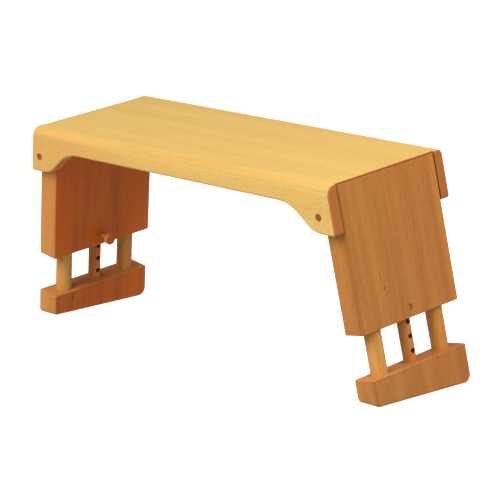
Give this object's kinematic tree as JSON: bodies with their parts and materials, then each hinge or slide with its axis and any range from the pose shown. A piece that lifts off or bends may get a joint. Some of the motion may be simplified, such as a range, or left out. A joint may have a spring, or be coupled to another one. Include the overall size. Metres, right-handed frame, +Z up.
{
  "type": "folding seat bench",
  "caption": "Low wooden seat bench leaning forward, its splayed legs hinged to fold under the seat and its feet sliding on dowels to set the height.",
  "frame": {"origin": "on the floor, under the middle of the whole bench's bounding box", "axes": "+X along the seat to the right leg, -Y towards the lower, front edge of the seat, +Z up"},
  "size_m": [0.5316, 0.1738, 0.2387],
  "materials": {
    "seat_wood": "oiled beech, satin",
    "leg_wood": "oiled beech, satin",
    "dowel_wood": "oiled beech, satin",
    "pin_wood": "oiled beech, satin"
  },
  "bodies": {
    "seat": {"seat_panel": "seat_wood", "front_apron": "seat_wood", "rear_apron": "seat_wood", "left_front_hinge_pin": "pin_wood", "left_rear_hinge_pin": "pin_wood", "right_front_hinge_pin": "pin_wood", "right_rear_hinge_pin": "pin_wood"},
    "left_leg": {"left_leg_board": "leg_wood", "left_hole_plug": "pin_wood"},
    "left_foot": {"left_foot_bar": "leg_wood", "left_front_guide_dowel": "dowel_wood", "left_rear_guide_dowel": "dowel_wood", "left_height_dowel": "dowel_wood"},
    "left_peg": {"left_peg_shank": "dowel_wood", "left_peg_knob": "dowel_wood"},
    "right_leg": {"right_leg_board": "leg_wood", "right_hole_plug": "pin_wood"},
    "right_foot": {"right_foot_bar": "leg_wood", "right_front_guide_dowel": "dowel_wood", "right_rear_guide_dowel": "dowel_wood", "right_height_dowel": "dowel_wood"},
    "right_peg": {"right_peg_shank": "dowel_wood", "right_peg_knob": "dowel_wood"}
  },
  "joints": [
    {"name": "left_leg_fold", "type": "hinge", "parent": "seat", "child": "left_leg", "pos_m": [-0.2173, -0.00038, 0.19834], "axis": [0, -0.9956, -0.0932], "range_deg": [0, 91.5]},
    {"name": "left_foot_slide", "type": "slide", "parent": "left_leg", "child": "left_foot", "axis": [0.1633, -0.092, 0.9823], "range_m": [0, 0.0456]},
    {"name": "left_peg_slide", "type": "slide", "parent": "left_leg", "child": "left_peg", "axis": [0.9866, 0.0152, -0.1626], "range_m": [-0.0095, 0]},
    {"name": "right_leg_fold", "type": "hinge", "parent": "seat", "child": "right_leg", "pos_m": [0.21183, -0.00038, 0.19834], "axis": [0, 0.9956, 0.0932], "range_deg": [0, 94.5]},
    {"name": "right_foot_slide", "type": "slide", "parent": "right_leg", "child": "right_foot", "axis": [-0.1633, -0.092, 0.9823], "range_m": [0, 0.0456]},
    {"name": "right_peg_slide", "type": "slide", "parent": "right_leg", "child": "right_peg", "axis": [-0.9866, 0.0152, -0.1626], "range_m": [-0.0095, 0]}
  ]
}
